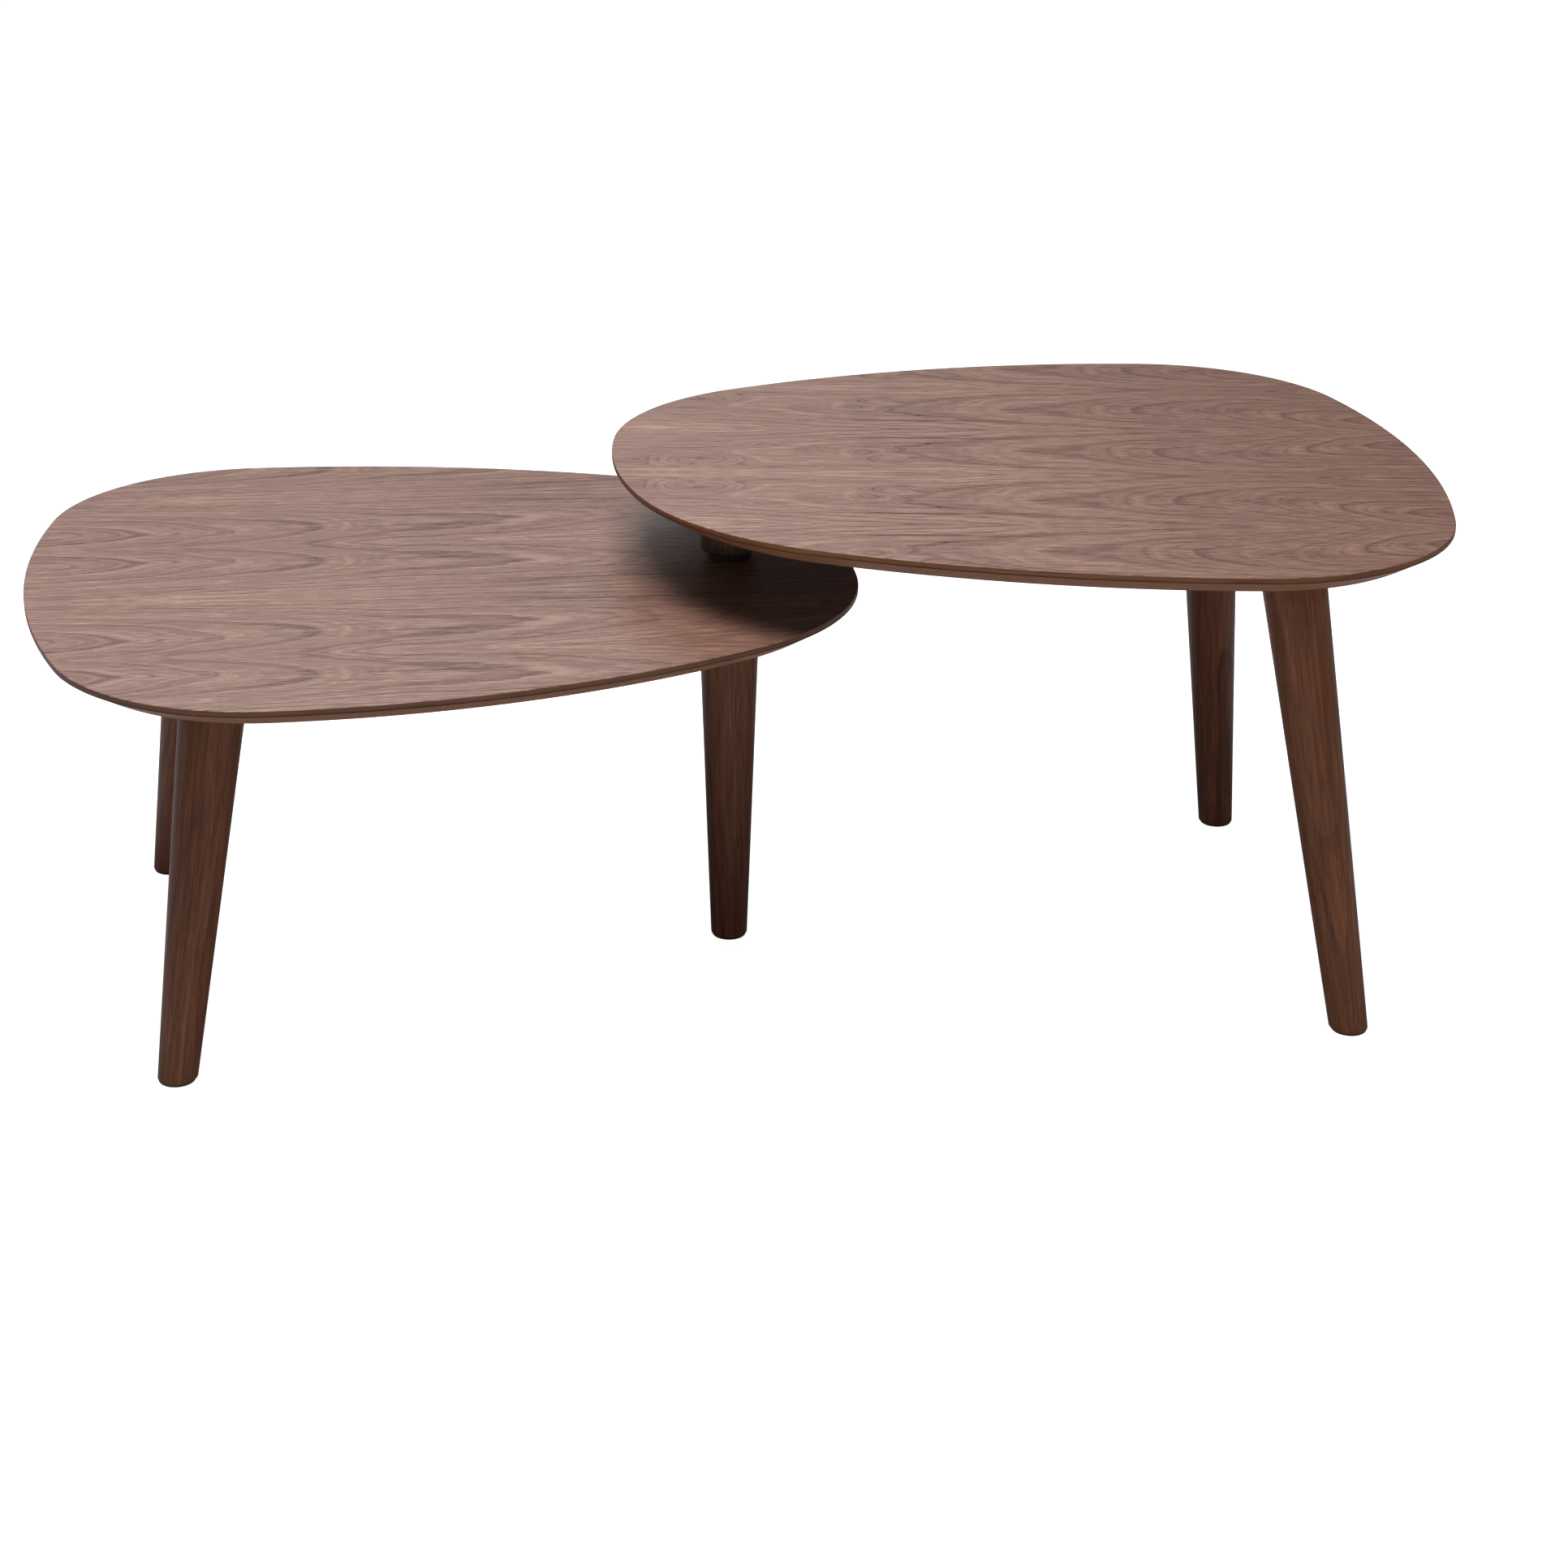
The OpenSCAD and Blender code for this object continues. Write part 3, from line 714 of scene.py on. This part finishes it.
def leg_walnut(name, seed, paler_wood_and_light=0.0, painted_shade_foot=0.0, grain="grain", tones=LEG_TONES):
    """Solid stained walnut, grain up the piece and growth rings at a slant; each seed is another board. A
    leg's paleness offset also carries painted light and shade, and its foot can be darkened as painted shade.
    """
    g = Graph(name, linear((92, 58, 43)))
    x, y, z = g.place(grain)
    turn = seed * 2.1
    across = x * math.cos(turn) + y * math.sin(turn) + z * RING_SLANT
    across = across + g.noise(x / 45, y / 45, z / 190 + seed * 7.0, detail=1.0) * 9.0
    count = across / RING_WIDTH
    phase = g.math("FRACT", count)
    weight = 0.3 + g.hash(g.math("FLOOR", count) + seed * 13.0) * 0.7
    late = g.math("POWER", phase, 2.5) * g.step(phase, 1.0, 0.92) * weight
    # Mask for the painted shade that darkens a leg's lower part, growing from 260 mm down to 40 mm
    foot = g.step(z, 260.0, 40.0)
    clouds = g.noise(x / 7, y / 7, z / 200 + seed, detail=2.0) * 0.12
    streaks = g.noise(x / 2.0, y / 2.0, z / 60, detail=3.0) * 0.26
    fibre = g.noise(x / 0.6, y / 0.6, z / 16, detail=2.0, roughness=0.6)
    pores = g.step(g.noise(x / 0.5, y / 0.5, z / 7 + 50.0, detail=1.0), 0.40, 0.80)
    # The paleness offset is partly the wood's own tone and partly painted light and shade; the foot term is
    # painted shade
    tone = 0.60 + paler_wood_and_light - late * 0.26 - pores * 0.20 - foot * painted_shade_foot
    tone = tone + clouds + streaks + fibre * 0.16
    height = fibre * 0.3 - pores * 0.7
    settings = {"Specular IOR Level": 0.22}
    return g.finish(g.ramp(tone, tones), 0.42 + pores * 0.15, height, 0.02 * MM, **settings)


def powder_coat():
    """Black coat with a fine orange-peel surface."""
    g = Graph("black_powder_coat", (0.02, 0.02, 0.022))
    x, y, z = g.place()
    peel = g.noise(x / 0.6, y / 0.6, z / 0.6, detail=2.0)
    colour = g.ramp(peel * 0.3 + 0.5, [(0, (20, 20, 21)), (1, (44, 44, 46))])
    return g.finish(colour, 0.55 + peel * 0.06, peel, 0.03 * MM)


def zinc_plate():
    """Bright zinc on steel, slightly clouded."""
    g = Graph("zinc_plated_steel", (0.5, 0.5, 0.52))
    x, y, z = g.place()
    cloud = g.noise(x / 3, y / 3, z / 3, detail=3.0)
    colour = g.ramp(cloud * 0.3 + 0.5, [(0, (150, 150, 150)), (0.5, (178, 179, 182)), (1, (206, 204, 196))])
    height = g.noise(x / 0.3, y / 0.3, z * 4)
    return g.finish(colour, 0.30 + cloud * 0.06, height, 0.004 * MM, Metallic=1.0)


def nylon(name, dark, light):
    """Moulded plastic with a faint grain."""
    g = Graph(name, linear(light))
    x, y, z = g.place()
    cloud = g.noise(x / 2, y / 2, z / 2, detail=3.0)
    colour = g.ramp(cloud * 0.4 + 0.5, [(0, dark), (1, light)])
    return g.finish(colour, 0.45 + cloud * 0.05, g.noise(x / 0.4, y / 0.4, z / 0.4), 0.006 * MM)


# ---------- the pieces ----------
def fit(piece, body, material, slot, *nodes):
    """Gives a new piece its material and its body, in place of the CAD nodes named; slot is not used."""
    piece.data.materials.append(material)
    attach(piece, body)
    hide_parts(*nodes)


def dress(material, *nodes):
    """Gives CAD nodes that stay as they are a finished material."""
    for node in nodes:
        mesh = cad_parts[node].data
        mesh.materials.clear()
        mesh.materials.append(material)


# Where each edge band's butt seam is, near the place given
SEAMS = {"upper": (0.30, -0.30), "lower": (-0.30, 0.25)}


def make_board(tier, stain, hole):
    """The four pieces of one top; hole is the radius of the shaft's hole, or 0."""
    board = Board(tier)
    body = board.body
    fit(make_face(board, hole), body, face_veneer(tier), "face_veneer", tier + "_face_veneer")
    fit(make_band(board, SEAMS[tier]), body, edge_band_wood(tier), "edge_band", tier + "_edge_band")
    fit(make_core(board, hole), body, stain, "fibreboard", tier + "_core")
    fit(make_backing(board, hole), body, backing_walnut(tier), "backing_veneer", tier + "_backing_veneer")


def shaft_hole_radius():
    """Radius of the hole that the lower top's face has for the shaft."""
    face = points_of("lower_face_veneer")
    radius = np.hypot(face[:, 0], face[:, 1])
    return float(radius[radius < SHAFT_ROOM].max())


stain = panel_stain()
make_board("lower", stain, shaft_hole_radius())
make_board("upper", stain, 0)

# Body of each leg; how much paler it is than the others', partly the wood's own tone and partly painted light
# and shade for where the leg stands; and how much darker its foot is, as painted shade
LEGS = {
    "lower_front_leg": ("lower_table", -0.04, 0.0),
    "lower_rear_leg": ("lower_table", 0.05, 0.0),
    "pivot_leg": ("lower_table", -0.05, 0.22),
    "upper_front_leg": ("upper_table", 0.06, 0.0),
    "upper_rear_leg": ("upper_table", -0.08, 0.05),
}
for seed, (node, (body, paler_wood_and_light, painted_shade_foot)) in enumerate(LEGS.items(), 1):
    wood = leg_walnut(node + "_walnut", float(seed), paler_wood_and_light, painted_shade_foot)
    fit(make_leg(node), body, wood, "solid_walnut", node)
POST_SEED = 7.0
# The post's wood is greyed by its tones, a painted sheen
post_walnut_painted_sheen = leg_walnut("post_walnut_painted_sheen", POST_SEED, grain=None, tones=POST_TONES_PAINTED_SHEEN)
fit(make_post(), "upper_table", post_walnut_painted_sheen, "solid_walnut", "post")
# Dark plastic whose greyer colours are partly its own and partly a painted sheen on the shaded ring
ring_nylon_painted_sheen = nylon("ring_nylon_painted_sheen", (60, 48, 43), (86, 70, 63))
fit(make_thrust_ring(), "lower_table", ring_nylon_painted_sheen, "bearing_plastic", "thrust_ring")

PLACES = ["lower_front", "lower_rear", "pivot", "upper_front", "upper_rear"]
SCREWS = ["lower_leg_screws", "lower_plate_screws", "upper_leg_screws", "upper_plate_screws"]
dress(powder_coat(), *[place + "_plate" for place in PLACES], "post_plate")
dress(zinc_plate(), *SCREWS, "shaft_socket", "swivel_shaft", "shaft_washer", "shaft_nut")
dress(nylon("bush_nylon", (30, 28, 26), (52, 48, 44)), "post_lower_bush", "post_upper_bush")
dress(nylon("glide_nylon", (34, 26, 22), (58, 46, 40)), *[place + "_glide" for place in PLACES])


# ---------- camera, floor and light ----------
CAMERA_PLACE = (0.0484, -2.4369, 1.156)
CAMERA_PITCH = math.radians(22.518)
CAMERA_ROLL = math.radians(0.462)
CAMERA_LENS = 68.735
CAMERA_SENSOR = 36

FLOOR_HALF = 60
FLOOR_WHITE = 0.85
FLOOR_GLOW = 0.93
BOUNCE_WHITE = 0.75
BOUNCE_DROP = 1 * MM
WALL_RADIUS = 58
WALL_HEIGHT = 55
WALL_SEGMENTS = 96
WORLD_LIGHT = 0.15


def make_camera():
    camera = bpy.data.objects.new("camera", bpy.data.cameras.new("camera"))
    camera.data.sensor_width = CAMERA_SENSOR
    camera.data.lens = CAMERA_LENS
    camera.matrix_world = (
        Matrix.Translation(CAMERA_PLACE)
        @ Matrix.Rotation(math.pi / 2 - CAMERA_PITCH, 4, "X")
        @ Matrix.Rotation(CAMERA_ROLL, 4, "Z")
    )
    bpy.context.scene.collection.objects.link(camera)
    bpy.context.scene.camera = camera


def matt_white(name, white, glow):
    """Paint with no gloss, which gives off some light of its own."""
    settings = {"Specular IOR Level": 0.0, "Emission Color": (1, 1, 1, 1), "Emission Strength": glow}
    return Graph(name, (white,) * 3).finish((white, white, white, 1), 1.0, **settings)


def only_for_camera(piece):
    piece.visible_diffuse = False
    piece.visible_glossy = False
    piece.visible_shadow = False


def make_floor(name, white, glow):
    corners = [(-FLOOR_HALF, -FLOOR_HALF, 0), (FLOOR_HALF, -FLOOR_HALF, 0)]
    corners += [(FLOOR_HALF, FLOOR_HALF, 0), (-FLOOR_HALF, FLOOR_HALF, 0)]
    floor = add_mesh(name, corners, [(0, 1, 2, 3)])
    floor.data.materials.append(matt_white(name + "_paint", white, glow))
    return floor


def make_floors():
    """One floor is seen and glows, so that it stays white; a plain one just below throws the light back."""
    only_for_camera(make_floor("floor", FLOOR_WHITE, FLOOR_GLOW))
    bounce = make_floor("floor_bounce", BOUNCE_WHITE, 0.0)
    bounce.location.z = -BOUNCE_DROP
    bounce.visible_camera = False


def make_wall():
    """A plain white wall far round the object, seen only by the camera, so that low views end in white."""
    turns = full_turn(WALL_SEGMENTS)
    levels = (-WALL_HEIGHT, WALL_HEIGHT)
    corners = [(WALL_RADIUS * math.cos(a), WALL_RADIUS * math.sin(a), z) for z in levels for a in turns]
    wall = add_mesh("backdrop_wall", corners, tube_faces(2, WALL_SEGMENTS))
    wall.data.materials.append(matt_white("backdrop_white", 0.0, 1.0))
    only_for_camera(wall)


def add_area(name, place, target, size, power):
    """A soft rectangular light that isn't seen itself."""
    light = bpy.data.lights.new(name, "AREA")
    light.shape = "RECTANGLE"
    light.size, light.size_y = size
    light.energy = power
    lamp = bpy.data.objects.new(name, light)
    lamp.visible_camera = False
    lamp.location = place
    lamp.rotation_euler = (Vector(target) - Vector(place)).to_track_quat("-Z", "Y").to_euler()
    bpy.context.scene.collection.objects.link(lamp)
    return lamp


def make_world():
    """An even, dim white all round."""
    world = bpy.data.worlds.new("studio")
    world.use_nodes = True
    background = world.node_tree.nodes["Background"]
    background.inputs["Color"].default_value = (1, 1, 1, 1)
    background.inputs["Strength"].default_value = WORLD_LIGHT
    bpy.context.scene.world = world


def make_lights():
    """A softbox above, glows behind and in front, and a panel that gives only the gloss on the tops."""
    add_area("softbox", place=(-0.35, -0.55, 2.6), target=(-0.35, -0.1, 0), size=(1.2, 1.2), power=57)
    add_area("backdrop_glow", place=(-1.5, 3.4, 3.0), target=(-0.2, 0, 0.4), size=(4.5, 3.0), power=26)
    sheen = add_area("sheen_panel", place=(-0.9, 2.2, 3.2), target=(-0.2, 0, 0.4), size=(3.0, 2.0), power=58)
    sheen.visible_diffuse = False
    front = add_area("front_glow", place=(0.9, -2.4, 0.12), target=(0, 0, 0.12), size=(3.2, 0.2), power=15)
    front.visible_glossy = False


make_camera()
make_floors()
make_wall()
make_world()
make_lights()
bpy.context.scene.view_settings.view_transform = "Standard"
